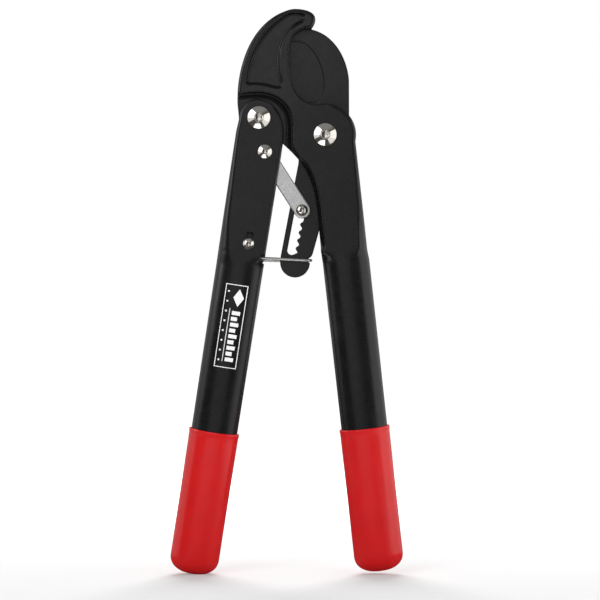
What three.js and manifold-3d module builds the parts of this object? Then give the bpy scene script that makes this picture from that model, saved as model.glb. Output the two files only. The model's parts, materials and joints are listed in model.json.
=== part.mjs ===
// Ratchet pruning shears. A hooked casting carries the right handle, a bypass blade with a toothed
// tang swings on it, and the left handle drives that tang through a pair of links and a spring bail.
// Millimetres, +Z up, the front of the tool towards -Y, the floor under the left grip at Z = 0.
import * as THREE from 'three';
import { mergeVertices } from 'three/addons/utils/BufferGeometryUtils.js';
import Module from 'manifold-3d';

const wasm = await Module();
wasm.setup();

// ---- Driving dimensions -------------------------------------------------------------------------

const degrees = Math.PI / 180;

// Depths along Y, from the front of the tool to its back.
const FRONT = -11;
const BACK = 9;
const WALL = 3.5;
const CHANNEL_FRONT = FRONT + WALL;
const CHANNEL_BACK = BACK - WALL;
const BLADE_HALF = 2;
const RUNNING_GAP = 0.4;
const GAP = 0.3;
const CASTING_BACK = -BLADE_HALF - RUNNING_GAP;
const LUG_FRONT = CHANNEL_FRONT + RUNNING_GAP;
const LUG_BACK = CHANNEL_BACK - RUNNING_GAP;
const LINK_THICKNESS = 2.5;
const LINK_INNER = BLADE_HALF + RUNNING_GAP;
const LINK_OUTER = LINK_INNER + LINK_THICKNESS;

// The two fixed pivots, as X and Z, and the way each long piece leans from straight down.
const BLADE_PIVOT = [27.7, 312];
const LEVER_PIVOT = [-19.2, 324.1];
const LEVER_LEAN = 8.8 * degrees;
const RIGHT_LEAN = -6.3 * degrees;
const TANG_LEAN = 10.8 * degrees;

// Handles: each outer and inner edge as a distance across from the pivot's own axis.
const LEVER_OUTER = -14.6;
const LEVER_INNER = 19.2;
const RIGHT_OUTER = 21.1;
const RIGHT_INNER = -11.6;
const HANDLE_TAPER = 1.2;
const HANDLE_LENGTH = 312;
const RIGHT_LENGTH = 297;
const HANDLE_ROUND = 9;
const CHANNEL_ROUND = 3;
const TUBE_WALL = 2.6;

const GRIP_WALL = 0.9;
const GRIP_LENGTH = 103;
const GRIP_LIP = 0.7;
const GRIP_END = 12;
const GRIP_PAST_TUBE = 15.4;
const GRIP_SEAT = 0.2;
const SEAT_MARGIN = 0.6;

// Places on the lever, across and down from its pivot: its two small screws and its open channel.
const LINK_PIVOT_ON_LEVER = [7.9, 23.2];
const SPRING_ON_LEVER = [6.4, 89.5];
const CHANNEL_END = 101.5;
const WEB_START = 19;

// Places on the tang, across and down from the blade's pivot: its edges, the toothed slot, the
// round lower end and the neck that the wire bears on.
const TANG_LEFT = -14.9;
const SLOT_LEFT = -11;
const TOOTH_TIP = -5.6;
const TOOTH_ROOT = -3.7;
const TOOTH_PITCH = 5.8;
const TEETH = 4;
const FIRST_TOOTH = 65.4;
const SLOT_TOP = 52.8;
const SLOT_BOTTOM = 88;
const TANG_BULB = [-4, 92.9];
const BULB_RADIUS = 10.6;
const NECK = [6.9, 89.2];
const NECK_RADIUS = 2.1;
const PIN_ON_TANG = [-6.1, 55.4];

const HEAD_RADIUS = 22.4;
const LUG_RADIUS = 14.4;
const LUG_BOSS_RADIUS = 9.5;
const LEVER_HEAD_RADIUS = 13.7;
const BLADE_HEEL_RADIUS = 16.6;
const PIVOT_WALL_RADIUS = 20.5;
const POCKET_DEPTH = 3;
const BIG_BOLT = { head: 8.3, height: 4.4, shank: 4, socket: 2.5 };
const LINK_BOLT = { head: 5.2, height: 3, shank: 2.5, socket: 1.5 };
const SPRING_BOLT = { head: 4.1, height: 2.6, shank: 2, socket: 1.3 };
const PIN_BOLT = { head: 4.25, height: 2.6, shank: 2, socket: 1.3 };

const BLADE_BUSH = { outer: 6, inner: BIG_BOLT.shank + GAP };
const LEVER_BUSH = { outer: 5.7, inner: BIG_BOLT.shank + GAP };

const WIRE_RADIUS = 1;
const COIL_RADIUS = 4.2;
const COIL_PITCH = 2.3;

const CURVE_STEPS = 10;
const ROUND_SIDES = 24;

// ---- Colours ------------------------------------------------------------------------------------

const BLACK = { color: 0x101010, roughness: 0.5, metalness: 0.1 };
const BLADE_COATING = { color: 0x0e0e0e, roughness: 0.42, metalness: 0.3 };
const CHROME = { color: 0xb9b2a6, roughness: 0.16, metalness: 1 };
const BRIGHT_STEEL = { color: 0xc3c3c3, roughness: 0.35, metalness: 1 };
const BRONZE = { color: 0x9a7440, roughness: 0.4, metalness: 1 };
const RED_GRIP = { color: 0xc51414, roughness: 0.45, metalness: 0 };

// ---- Tools for solids ---------------------------------------------------------------------------

// A closed three.js geometry as an outward-facing solid, without the triangles that shrink to nothing.
function solid(geometry) {
  const bare = geometry.clone();
  bare.deleteAttribute('normal');
  bare.deleteAttribute('uv');
  const merged = mergeVertices(bare, 1e-4);
  const corners = merged.index.array;
  const kept = [];
  for (let i = 0; i < corners.length; i += 3) {
    const triangle = [corners[i], corners[i + 1], corners[i + 2]];
    if (new Set(triangle).size === 3) {
      kept.push(...triangle);
    }
  }
  const vertProperties = new Float32Array(merged.attributes.position.array);
  const closed = (triVerts) => new wasm.Manifold(new wasm.Mesh({ numProp: 3, vertProperties, triVerts }));
  const made = closed(new Uint32Array(kept));
  return made.volume() > 0 ? made : closed(new Uint32Array(kept.reverse()));
}

// A solid back as a geometry that three.js can show.
function geometryOf(shape) {
  const mesh = shape.getMesh();
  const geometry = new THREE.BufferGeometry();
  geometry.setAttribute('position', new THREE.BufferAttribute(mesh.vertProperties, 3));
  geometry.setIndex(new THREE.BufferAttribute(mesh.triVerts, 1));
  geometry.computeVertexNormals();
  return geometry;
}

// A flat plate between two depths, from an outline in X and Z, with its rim rounded if asked.
function plate(outline, front, back, round = 0, roundSteps = 3) {
  const geometry = new THREE.ExtrudeGeometry(outline, {
    depth: back - front - 2 * round,
    bevelEnabled: round > 0,
    bevelThickness: round,
    bevelSize: round,
    bevelOffset: -round,
    bevelSegments: roundSteps,
    curveSegments: CURVE_STEPS,
  });
  geometry.rotateX(Math.PI / 2);
  geometry.translate(0, back - round, 0);
  return solid(geometry);
}

// A round rod along Y, centred on an X and Z.
function rod([x, z], radius, front, back, sides = ROUND_SIDES) {
  const geometry = new THREE.CylinderGeometry(radius, radius, back - front, sides);
  geometry.translate(x, (front + back) / 2, z);
  return solid(geometry);
}

// A piece turned about Y, from a profile of radius and depth that starts and ends on the axis.
function turned(profile, [x, z]) {
  const points = profile.map(([radius, depth]) => new THREE.Vector2(radius, depth));
  const geometry = new THREE.LatheGeometry(points, ROUND_SIDES);
  geometry.translate(x, 0, z);
  return solid(geometry);
}

// A ring along Y, such as a washer or a bush.
function ring(centre, outer, inner, front, back) {
  return rod(centre, outer, front, back).subtract(rod(centre, inner, front - 1, back + 1));
}

// A place on a leaning piece: across it to the right, then down along it, from its pivot.
function along([x, z], lean, across, down) {
  return [
    x + across * Math.cos(lean) - down * Math.sin(lean),
    z - across * Math.sin(lean) - down * Math.cos(lean),
  ];
}

const onLever = (across, down) => along(LEVER_PIVOT, LEVER_LEAN, across, down);
const onRight = (across, down) => along(BLADE_PIVOT, RIGHT_LEAN, across, down);
const onTang = (across, down) => along(BLADE_PIVOT, TANG_LEAN, across, down);

// An outline from its start and its steps: a step of one point is straight, one of three is a curve.
function outlineOf(start, steps) {
  const outline = new THREE.Shape();
  outline.moveTo(...start);
  for (const step of steps) {
    if (step.length === 3) {
      outline.bezierCurveTo(...step[0], ...step[1], ...step[2]);
    } else {
      outline.lineTo(...step[0]);
    }
  }
  return outline;
}

// Points on an arc, both ends included, with the angles in degrees from +X towards +Z.
function arcPoints([x, z], radius, from, to, count) {
  const points = [];
  for (let i = 0; i <= count; i += 1) {
    const angle = (from + ((to - from) * i) / count) * degrees;
    points.push([x + radius * Math.cos(angle), z + radius * Math.sin(angle)]);
  }
  return points;
}

const straight = (points) => points.map((point) => [point]);

// ---- Fasteners ----------------------------------------------------------------------------------

// A button-head bolt: a rim, a domed head, a hex socket and a plain shank to the given depth.
function buttonBolt(centre, size, underHead, end) {
  const rim = size.height * 0.28;
  const profile = [[0, end], [size.shank, end], [size.shank, underHead], [size.head, underHead]];
  const domeSteps = 4;
  for (let i = 0; i <= domeSteps; i += 1) {
    const angle = (i / domeSteps) * 80 * degrees;
    const depth = underHead - rim - (size.height - rim) * Math.sin(angle);
    profile.push([size.head * Math.cos(angle), depth]);
  }
  profile.push([0, underHead - size.height]);
  const socketFloor = underHead - size.height * 0.45;
  const socket = rod(centre, size.socket, underHead - size.height - 1, socketFloor, 6);
  return turned(profile.reverse(), centre).subtract(socket);
}

// A hexagon nut with a raised collar on its back, bored through.
function collarNut(centre, halfFlats, bore, front, back) {
  const hexBack = front + (back - front) * 0.72;
  const hexagon = rod(centre, halfFlats / Math.cos(30 * degrees), front, hexBack, 6);
  const collar = rod(centre, halfFlats * 0.86, front, back);
  return hexagon.add(collar).subtract(rod(centre, bore, front - 1, back + 1));
}

// ---- Hook casting with the right handle ---------------------------------------------------------

function rightHandleSide(across, down) {
  const inwards = Math.sign(across) * HANDLE_TAPER * (down / HANDLE_LENGTH);
  return onRight(across - inwards, down);
}

function hookOutline() {
  const throatEnd = arcPoints(BLADE_PIVOT, HEAD_RADIUS, 104, 104, 1)[0];
  const head = arcPoints(BLADE_PIVOT, HEAD_RADIUS, 96, -12, 12);
  const lug = arcPoints(LEVER_PIVOT, LUG_RADIUS, 176, 290, 10);
  return outlineOf([18.5, 388], [
    [[6, 391.1], [1.1, 379.5], [1.8, 368.8]],
    [[0.8, 354.6], [4, 334.5], throatEnd],
    ...straight(head),
    [rightHandleSide(RIGHT_OUTER, 100)],
    [rightHandleSide(RIGHT_INNER, 100)],
    [rightHandleSide(RIGHT_INNER + 0.6, 82)],
    [[24.2, 252], [23, 280], [10, 294.3]],
    [[-2.1, 305.7]],
    ...straight(lug.reverse()),
    [[-34.5, 334]],
    [[-35.5, 361.2], [-23.1, 394.9], [6.4, 401.5]],
    [[18.2, 399.8], [23.6, 400.5], [18.5, 388]],
  ]);
}

// The part of the casting's face that the lever's head sweeps, cut back to the lug.
function lugRecess() {
  return outlineOf([-45, 341], [
    [[-35, 341]],
    [[-21.6, 342.5], [-10.3, 344.4], [-0.7, 334.1]],
    [[7.2, 325.4], [3.6, 313.3], [5, 302.8]],
    [[9.6, 295.2]],
    [[8, 290]],
    [[-45, 290]],
  ]);
}

function jawPocket() {
  return outlineOf([7.8, 398.3], [
    [[26.8, 394.2], [-6.8, 395.5], [-4.6, 365.3]],
    [[-8.1, 363.6], [3.5, 341.6], [-6.4, 345.4]],
    [[-12.8, 350], [-21.9, 344.8], [-27.7, 350.4]],
    [[-29.3, 368.3], [-9.3, 395.5], [7.8, 398.3]],
  ]);
}

// Where the blade and its tang swing inside the casting: open above the pivot and to the left.
function bladeSpace() {
  const web = RIGHT_OUTER - WALL;
  return outlineOf([-60, 420], [
    [[80, 420]],
    [onRight(45, 9)],
    [onRight(web, 9)],
    [rightHandleSide(web, 84)],
    [rightHandleSide(-30, 84)],
    [[-60, 220]],
  ]);
}

// The back of the casting above the handle: only the wall behind the blade's pivot stays.
function backRelief() {
  const head = arcPoints(BLADE_PIVOT, PIVOT_WALL_RADIUS, -10, 200, 16);
  return outlineOf([-60, 420], [
    [[80, 420]],
    [[80, head[0][1]]],
    ...straight(head),
    [[23, 280], [23, 256], onRight(-13, 80)],
    [onRight(-14, 101)],
    [[-60, 200]],
  ]);
}

// The straight outline of a handle's stretch, grown outwards on both sides.
function sleeveOutline(side, outer, inner, grow, from, to) {
  const left = outer + Math.sign(outer) * grow;
  const right = inner + Math.sign(inner) * grow;
  return outlineOf(side(left, from), straight([side(left, to), side(right, to), side(right, from)]));
}

// The closed oval stretch of a handle, hollow and open at its lower end, and drawn down slightly to a
// seat from just above its grip's mouth.
function tube(side, outer, inner, length, top) {
  const stretch = (grow, from, to) => sleeveOutline(side, outer, inner, grow, from, to);
  const full = plate(stretch(0, top, length + HANDLE_ROUND), FRONT, BACK, HANDLE_ROUND, 5);
  const seatTop = length + GRIP_PAST_TUBE - GRIP_LENGTH - SEAT_MARGIN;
  const seat = stretch(-GRIP_SEAT, seatTop - 30, length + HANDLE_ROUND);
  const drawn = plate(seat, FRONT + GRIP_SEAT, BACK - GRIP_SEAT, HANDLE_ROUND - GRIP_SEAT, 5);
  const outside = full.intersect(plate(stretch(10, top - 5, seatTop), FRONT - 5, BACK + 5)).add(drawn);
  const bore = stretch(-TUBE_WALL, top + 30, length + 30);
  const hollow = plate(bore, FRONT + TUBE_WALL, BACK - TUBE_WALL, HANDLE_ROUND - TUBE_WALL, 4);
  const below = plate(stretch(10, length, length + 40), FRONT - 5, BACK + 5);
  return outside.subtract(hollow).subtract(below);
}

function hookHandle() {
  const lugBoss = rod(LEVER_PIVOT, LUG_BOSS_RADIUS, LUG_FRONT, LUG_BACK);
  const casting = plate(hookOutline(), FRONT, BACK, 1.2, 2)
    .subtract(plate(bladeSpace(), CASTING_BACK, CHANNEL_BACK))
    .subtract(plate(backRelief(), CASTING_BACK, BACK + 1))
    .subtract(plate(lugRecess(), FRONT - 1, LUG_FRONT))
    .subtract(plate(jawPocket(), FRONT - 1, FRONT + POCKET_DEPTH));
  return casting
    .add(lugBoss)
    .add(tube(rightHandleSide, RIGHT_OUTER, RIGHT_INNER, RIGHT_LENGTH, 85))
    .subtract(rod(BLADE_PIVOT, BIG_BOLT.shank + GAP, FRONT - 1, BACK + 1))
    .subtract(rod(LEVER_PIVOT, LEVER_BUSH.outer + GAP, FRONT - 1, BACK + 1));
}

// ---- Blade with its toothed tang ----------------------------------------------------------------

function bladeOutline() {
  const heel = arcPoints(BLADE_PIVOT, BLADE_HEEL_RADIUS, 0, -50, 6);
  const bulb = arcPoints(onTang(...TANG_BULB), BULB_RADIUS, 8, -190, 20);
  return outlineOf([12, 392.4], [
    [[18.5, 387.3]],
    [[34.5, 383.6], [43.7, 366.5], [44.8, 351.1]],
    [[44.9, 324.8]],
    [[44.8, 318], [44.4, 315], heel[0]],
    ...straight(heel.slice(1)),
    [onTang(12, 26), onTang(9.4, 52), onTang(8.5, 69.2)],
    [onTang(7.4, 82.4)],
    [onTang(7.2, 85.6), onTang(6.6, 86.4), onTang(6, 87.4)],
    ...straight(bulb),
    [onTang(TANG_LEFT, 90)],
    [onTang(TANG_LEFT, 24)],
    [onTang(TANG_LEFT, 14), [2.4, 321], [3.6, 333]],
    [[2, 341], [-3.4, 350], [-3.2, 364]],
    [[-3, 377], [1.5, 387], [12, 392.4]],
  ]);
}

// The ratchet slot: a straight left side, and rounded teeth on the right below the pin's first seat.
function slotOutline() {
  const floorRadius = 3.1;
  const floorCentre = [SLOT_LEFT + floorRadius, SLOT_BOTTOM - floorRadius];
  const points = [onTang(SLOT_LEFT, SLOT_TOP + 2)];
  for (let i = 0; i <= 6; i += 1) {
    const angle = i * 20 * degrees;
    const across = floorCentre[0] - floorRadius * Math.cos(angle);
    points.push(onTang(across, floorCentre[1] + floorRadius * Math.sin(angle)));
  }
  const waveSteps = 6;
  const middle = (TOOTH_TIP + TOOTH_ROOT) / 2;
  const swing = (TOOTH_ROOT - TOOTH_TIP) / 2;
  for (let i = (TEETH - 0.5) * waveSteps; i >= -waveSteps / 2; i -= 1) {
    const tooth = i / waveSteps;
    const across = middle - swing * Math.cos(tooth * 2 * Math.PI);
    points.push(onTang(across, FIRST_TOOTH + tooth * TOOTH_PITCH));
  }
  points.push(onTang(TOOTH_ROOT, SLOT_TOP + 2));
  points.push(onTang(TOOTH_ROOT - 2, SLOT_TOP));
  points.push(onTang(SLOT_LEFT + 2, SLOT_TOP));
  return outlineOf(points[0], straight(points.slice(1)));
}

function blade() {
  return plate(bladeOutline(), -BLADE_HALF, BLADE_HALF, 0.3, 1)
    .subtract(plate(slotOutline(), -BLADE_HALF - 1, BLADE_HALF + 1))
    .subtract(rod(onTang(...NECK), NECK_RADIUS, -BLADE_HALF - 1, BLADE_HALF + 1, 16))
    .subtract(rod(BLADE_PIVOT, BLADE_BUSH.outer + GAP, -BLADE_HALF - 1, BLADE_HALF + 1));
}

// ---- Lever handle -------------------------------------------------------------------------------

function leverSide(across, down) {
  const inwards = Math.sign(across) * HANDLE_TAPER * (down / HANDLE_LENGTH);
  return onLever(across - inwards, down);
}

function leverOutline() {
  const head = arcPoints(LEVER_PIVOT, LEVER_HEAD_RADIUS, 172, 100, 8);
  return outlineOf(leverSide(LEVER_OUTER, 118), [
    [leverSide(LEVER_OUTER, 12)],
    ...straight(head),
    [onLever(9, -15), onLever(18.6, -4), onLever(19.6, 12)],
    [leverSide(LEVER_INNER, 24)],
    [leverSide(LEVER_INNER, 118)],
  ]);
}

// Between the lever's two walls: open all round the head, and to the right down to the spring.
function leverChannel() {
  return outlineOf(onLever(-40, -30), straight([
    onLever(40, -30),
    onLever(40, CHANNEL_END),
    leverSide(LEVER_OUTER + WALL, CHANNEL_END),
    leverSide(LEVER_OUTER + WALL, WEB_START),
    onLever(-40, WEB_START),
  ]));
}

function leverHandle() {
  const linkPivot = onLever(...LINK_PIVOT_ON_LEVER);
  const springScrew = onLever(...SPRING_ON_LEVER);
  const slotTop = onLever(SPRING_ON_LEVER[0] - 0.1, SPRING_ON_LEVER[1] - 6);
  const springSlot = outlineOf(onLever(SPRING_ON_LEVER[0] - 2.5, SPRING_ON_LEVER[1]), straight([
    onLever(SPRING_ON_LEVER[0] - 2.5, SPRING_ON_LEVER[1] - 6),
    onLever(SPRING_ON_LEVER[0] + 2.5, SPRING_ON_LEVER[1] - 6),
    onLever(SPRING_ON_LEVER[0] + 2.5, SPRING_ON_LEVER[1]),
  ]));
  return plate(leverOutline(), FRONT, BACK, CHANNEL_ROUND, 3)
    .subtract(plate(leverChannel(), CHANNEL_FRONT, CHANNEL_BACK))
    .add(tube(leverSide, LEVER_OUTER, LEVER_INNER, HANDLE_LENGTH, CHANNEL_END + 1))
    .subtract(rod(LEVER_PIVOT, BIG_BOLT.shank + GAP, FRONT - 1, BACK + 1))
    .subtract(rod(linkPivot, LINK_BOLT.shank + GAP, FRONT - 1, BACK + 1))
    .subtract(rod(springScrew, 2.5, FRONT - 1, BACK + 1))
    .subtract(rod(slotTop, 2.5, FRONT - 1, CHANNEL_FRONT + 1))
    .subtract(plate(springSlot, FRONT - 1, CHANNEL_FRONT + 1))
    .subtract(rod(onLever(18.6, 98), 2.7, FRONT - 1, CHANNEL_FRONT + 1, 16));
}

// ---- Grips --------------------------------------------------------------------------------------

// A dipped grip: a closed sleeve with a round lower end and a thin lip at its mouth.
function grip(side, outer, inner, length) {
  const bottom = length + GRIP_PAST_TUBE;
  const top = bottom - GRIP_LENGTH;
  const wide = GRIP_WALL + GAP;
  const left = outer + Math.sign(outer) * wide;
  const right = inner + Math.sign(inner) * wide;
  const middle = (left + right) / 2;
  const shoulder = bottom - GRIP_END;
  const pull = 0.55;
  const towards = (edge) => middle + (edge - middle) * pull;
  const outline = outlineOf(side(left, top - 30), [
    [side(left, shoulder)],
    [side(left, shoulder + GRIP_END * pull), side(towards(left), bottom), side(middle, bottom)],
    [side(towards(right), bottom), side(right, shoulder + GRIP_END * pull), side(right, shoulder)],
    [side(right, top - 30)],
  ]);
  const stretch = (grow, from, to) => sleeveOutline(side, outer, inner, grow, from, to);
  const body = plate(outline, FRONT - wide, BACK + wide, HANDLE_ROUND - 1, 5);
  const lipOut = wide + GRIP_LIP;
  const lip = plate(stretch(lipOut, top - 30, top + 30), FRONT - lipOut, BACK + lipOut, HANDLE_ROUND + 2, 5)
    .intersect(plate(stretch(10, top, top + 2.6), FRONT - 8, BACK + 8));
  const mouth = plate(stretch(20, top - 60, top), FRONT - 12, BACK + 12);
  const floor = plate(stretch(10, length + GAP, length + 60), FRONT - 5, BACK + 5);
  const pocket = plate(stretch(GAP, top - 40, length + 40), FRONT - GAP, BACK + GAP, HANDLE_ROUND, 5)
    .subtract(floor);
  return body.subtract(mouth).add(lip).subtract(pocket);
}

// ---- Links and the ratchet pin ------------------------------------------------------------------

function link(front, back) {
  const upper = onLever(...LINK_PIVOT_ON_LEVER);
  const lower = onTang(...PIN_ON_TANG);
  const width = 5.7;
  const heading = Math.atan2(lower[1] - upper[1], lower[0] - upper[0]) / degrees;
  const ends = [
    ...arcPoints(lower, width, heading - 90, heading + 90, 12),
    ...arcPoints(upper, width, heading + 90, heading + 270, 12),
  ];
  return plate(outlineOf(ends[0], straight(ends.slice(1))), front, back, 0.3, 1)
    .subtract(rod(upper, LINK_BOLT.shank + GAP, front - 1, back + 1))
    .subtract(rod(lower, PIN_BOLT.shank + GAP, front - 1, back + 1));
}

// ---- Spring bail --------------------------------------------------------------------------------

// One wire, mirrored front to back: a tail, a turn round the screw, a leg to the tang's neck, and
// the bend round that neck.
function bailHalf(side) {
  const [x, z] = onLever(...SPRING_ON_LEVER);
  const [neckX, neckZ] = onTang(...NECK);
  const legDepth = LINK_INNER + WIRE_RADIUS + 0.1;
  const legX = x + COIL_RADIUS;
  const elbow = 2.6;
  const legZ = neckZ + 1.7;
  const points = [];
  for (const rise of [7, 3.5]) {
    points.push([legX, legDepth - COIL_PITCH, z + rise]);
  }
  const coilSteps = 20;
  for (let i = 0; i <= coilSteps; i += 1) {
    const part = i / coilSteps;
    const angle = -part * 2 * Math.PI;
    const depth = legDepth - COIL_PITCH * (1 - part);
    points.push([x + COIL_RADIUS * Math.cos(angle), depth, z + COIL_RADIUS * Math.sin(angle)]);
  }
  points.push([legX, legDepth, (z + legZ + elbow) / 2]);
  for (let i = 0; i <= 3; i += 1) {
    const angle = (i / 3) * 90 * degrees;
    points.push([legX + elbow * (1 - Math.cos(angle)), legDepth, legZ + elbow * (1 - Math.sin(angle))]);
  }
  const bendX = neckX - legDepth;
  const legLength = bendX - (legX + elbow);
  for (const part of [0.25, 0.5, 0.75, 0.93]) {
    points.push([legX + elbow + legLength * part, legDepth, legZ + (neckZ - legZ) * part]);
  }
  const bendSteps = 4;
  for (let i = 0; i < bendSteps; i += 1) {
    const angle = (i / bendSteps) * 90 * degrees;
    points.push([bendX + legDepth * Math.sin(angle), legDepth * Math.cos(angle), neckZ]);
  }
  return points.map(([px, py, pz]) => new THREE.Vector3(px, side * py, pz));
}

function springBail() {
  const [neckX, neckZ] = onTang(...NECK);
  const route = [...bailHalf(-1), new THREE.Vector3(neckX, 0, neckZ), ...bailHalf(1).reverse()];
  const path = new THREE.CatmullRomCurve3(route, false, 'centripetal');
  const section = new THREE.Shape();
  const sides = 6;
  for (let i = 0; i < sides; i += 1) {
    const angle = (i / sides) * 2 * Math.PI;
    const place = [WIRE_RADIUS * Math.cos(angle), WIRE_RADIUS * Math.sin(angle)];
    if (i === 0) {
      section.moveTo(...place);
    } else {
      section.lineTo(...place);
    }
  }
  return solid(new THREE.ExtrudeGeometry(section, { steps: 130, extrudePath: path }));
}

// ---- Assembly -----------------------------------------------------------------------------------

const group = new THREE.Group();

function addPiece(name, shape, finish) {
  const mesh = new THREE.Mesh(geometryOf(shape), new THREE.MeshStandardMaterial(finish));
  mesh.name = name;
  group.add(mesh);
}

const linkPivot = onLever(...LINK_PIVOT_ON_LEVER);
const springScrew = onLever(...SPRING_ON_LEVER);
const ratchetPin = onTang(...PIN_ON_TANG);

addPiece('hook_handle', hookHandle(), BLACK);
addPiece('right_grip', grip(rightHandleSide, RIGHT_OUTER, RIGHT_INNER, RIGHT_LENGTH), RED_GRIP);
addPiece('blade', blade(), BLADE_COATING);
addPiece('lever_handle', leverHandle(), BLACK);
addPiece('left_grip', grip(leverSide, LEVER_OUTER, LEVER_INNER, HANDLE_LENGTH), RED_GRIP);

// The stack on the blade's pivot.
const washerBack = BACK + GAP + 1.3;
const nutFront = washerBack + GAP;
const bigNutBack = nutFront + 4.6;
addPiece('main_pivot_bolt', buttonBolt(BLADE_PIVOT, BIG_BOLT, FRONT - GAP, bigNutBack + 0.4), CHROME);
addPiece('main_pivot_washer', ring(BLADE_PIVOT, 8, 4.3, BACK + GAP, washerBack), BRIGHT_STEEL);
addPiece('main_pivot_nut', collarNut(BLADE_PIVOT, 6.5, 4.3, nutFront, bigNutBack), BRIGHT_STEEL);
addPiece('blade_bush', ring(BLADE_PIVOT, BLADE_BUSH.outer, BLADE_BUSH.inner, -2.1, 2.1), BRONZE);
addPiece('blade_spacer', ring(BLADE_PIVOT, 9, 4.3, 2.4, CHANNEL_BACK - GAP), BRIGHT_STEEL);

// The stack on the lever's pivot.
addPiece('lever_pivot_bolt', buttonBolt(LEVER_PIVOT, BIG_BOLT, FRONT - GAP, bigNutBack + 0.4), CHROME);
addPiece('lever_pivot_washer', ring(LEVER_PIVOT, 8, 4.3, BACK + GAP, washerBack), BRIGHT_STEEL);
addPiece('lever_pivot_nut', collarNut(LEVER_PIVOT, 6.5, 4.3, nutFront, bigNutBack), BRIGHT_STEEL);
const leverBush = ring(LEVER_PIVOT, LEVER_BUSH.outer, LEVER_BUSH.inner, LUG_FRONT, LUG_BACK);
addPiece('lever_pivot_bush', leverBush, BRONZE);

// The links, and what holds them to the lever and to the tang's teeth.
addPiece('link_front', link(-LINK_OUTER, -LINK_INNER), BRIGHT_STEEL);
addPiece('link_rear', link(LINK_INNER, LINK_OUTER), BRIGHT_STEEL);
addPiece('link_screw', buttonBolt(linkPivot, LINK_BOLT, FRONT - GAP, BACK + 4.6), CHROME);
addPiece('link_screw_nut', collarNut(linkPivot, 4, 2.8, BACK + GAP, BACK + 4.3), BRIGHT_STEEL);
const frontSpacer = ring(linkPivot, 4.6, 2.8, CHANNEL_FRONT + GAP, -LINK_OUTER - GAP);
const middleSpacer = ring(linkPivot, 4.6, 2.8, -LINK_INNER + GAP, LINK_INNER - GAP);
addPiece('link_spacer_front', frontSpacer, BRIGHT_STEEL);
addPiece('link_spacer_middle', middleSpacer, BRIGHT_STEEL);
addPiece('ratchet_pin', buttonBolt(ratchetPin, PIN_BOLT, -LINK_OUTER - GAP, LINK_OUTER + 3.6), CHROME);
const pinNut = collarNut(ratchetPin, 3.5, 2.3, LINK_OUTER + GAP, LINK_OUTER + 3.3);
addPiece('ratchet_pin_nut', pinNut, BRIGHT_STEEL);

// The spring bail and its screw.
addPiece('spring_bail', springBail(), BRIGHT_STEEL);
addPiece('spring_screw', buttonBolt(springScrew, SPRING_BOLT, FRONT - GAP, BACK + 3.6), CHROME);
addPiece('spring_screw_nut', collarNut(springScrew, 3.5, 2.3, BACK + GAP, BACK + 3.3), BRIGHT_STEEL);
addPiece('spring_bush', ring(springScrew, 2.9, 2.3, CHANNEL_FRONT + GAP, CHANNEL_BACK - GAP), BRIGHT_STEEL);

export default group;
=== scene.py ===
"""Looks for the ratchet pruning shears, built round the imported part.

Lengths are in millimetres until a mesh is made, and +X is right, +Y is back and +Z is up.
"""
import json
import math

import bpy
import numpy as np
import openvdb
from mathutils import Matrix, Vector


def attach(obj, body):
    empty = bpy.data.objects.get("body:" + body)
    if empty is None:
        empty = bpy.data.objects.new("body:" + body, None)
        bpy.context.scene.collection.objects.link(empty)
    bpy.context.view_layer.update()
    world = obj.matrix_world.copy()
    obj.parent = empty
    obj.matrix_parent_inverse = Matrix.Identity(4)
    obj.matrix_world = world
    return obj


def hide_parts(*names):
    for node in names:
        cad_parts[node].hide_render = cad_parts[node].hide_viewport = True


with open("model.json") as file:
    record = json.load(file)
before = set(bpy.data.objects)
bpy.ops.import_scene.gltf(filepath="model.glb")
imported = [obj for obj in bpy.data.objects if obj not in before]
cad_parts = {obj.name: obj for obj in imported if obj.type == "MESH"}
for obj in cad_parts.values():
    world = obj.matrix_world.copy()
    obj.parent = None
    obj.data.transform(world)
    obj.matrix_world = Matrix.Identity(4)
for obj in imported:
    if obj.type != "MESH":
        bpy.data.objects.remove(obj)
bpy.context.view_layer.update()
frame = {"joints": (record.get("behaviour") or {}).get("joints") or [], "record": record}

MM = 0.001

# ---- Design values: the CAD's, but for the handles' sides and the head, within 1.5 mm of it -----

PIVOTS = {j["child"]: (j["pos_m"][0] / MM, j["pos_m"][2] / MM) for j in frame["joints"]}
BLADE_PIVOT = PIVOTS["blade"]
LEVER_PIVOT = PIVOTS["lever_handle"]
LINK_PIVOT = PIVOTS["links"]
SPRING_SCREW = PIVOTS["spring_bail"]

FRONT, BACK = -11.0, 9.0
WALL = 3.5
CHANNEL_FRONT, CHANNEL_BACK = FRONT + WALL, BACK - WALL
BLADE_HALF = 2.0
CASTING_BACK = -2.4
LUG_FRONT, LUG_BACK = -7.1, 5.1
LINK_INNER, LINK_OUTER = 2.4, 4.9
GAP = 0.3

LEVER_OUTER, LEVER_INNER, LEVER_LENGTH = -14.6, 19.7, 312.0
RIGHT_OUTER, RIGHT_INNER, RIGHT_LENGTH = 21.8, -11.7, 297.0
LEVER_TAPER, RIGHT_TAPER = 1.0 / 312, 0.5 / 312
TUBE_WALL = 2.6
HEAD_RADIUS = 22.0
CHANNEL_END = 101.5
RIGHT_TUBE_START, LEVER_TUBE_START = 81, 96
RIGHT_BORE_START, LEVER_BORE_START = 115, 132

PIVOT_BORE, LUG_BORE, BLADE_BORE = 4.3, 6.0, 6.3
LINK_BORE, PIN_BORE, SPRING_BORE = 2.8, 2.3, 2.5
LINK_HALF_WIDTH = 5.7
BOSS_RADIUS = 9.5
POCKET_DEPTH, POCKET_DRAFT = 3.2, 0.4
FACE_LEAN = 0.03
HOLLOW_DEPTH = 0.35
WIRE_RADIUS, NOTCH_RADIUS = 1.0, 2.1

GRIP_WALL, GRIP_LENGTH, GRIP_END, GRIP_PAST_TUBE = 0.9, 103.0, 12.0, 15.4


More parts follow.
